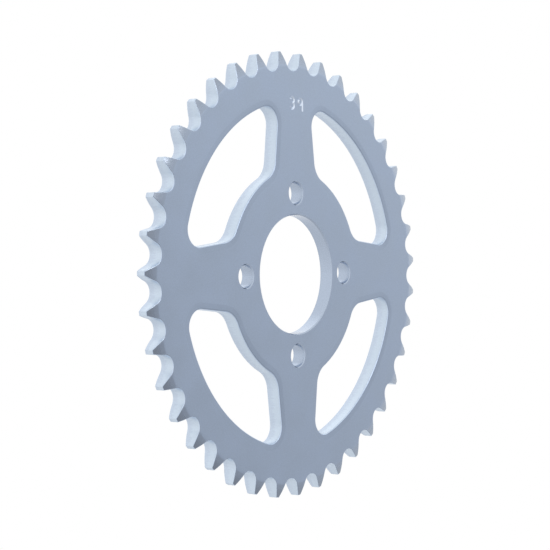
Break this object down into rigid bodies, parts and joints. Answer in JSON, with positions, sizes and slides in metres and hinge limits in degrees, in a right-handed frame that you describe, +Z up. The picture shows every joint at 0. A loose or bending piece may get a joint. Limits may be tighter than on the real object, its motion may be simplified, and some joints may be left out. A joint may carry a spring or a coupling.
{
  "type": "motorcycle rear sprocket",
  "caption": "Flat steel rear chain sprocket with a round centre bore, a circle of bolt holes and open curved windows between spokes; it turns the rear wheel.",
  "frame": {"origin": "on the wheel axis, at the middle of the plate's thickness, which is the chain line", "axes": "Y is the wheel axis and the stamped outer face looks along -Y; +Z points up through the bolt hole under the stamped figures; +X is to the right as the stamped face is seen"},
  "size_m": [0.1639, 0.0056, 0.1639],
  "materials": {
    "zinc_plate": "bright zinc plating on punched steel, satin, faintly blue, lighter on the cut walls"
  },
  "bodies": {
    "root": {"sprocket_plate": "zinc_plate"}
  },
  "joints": []
}
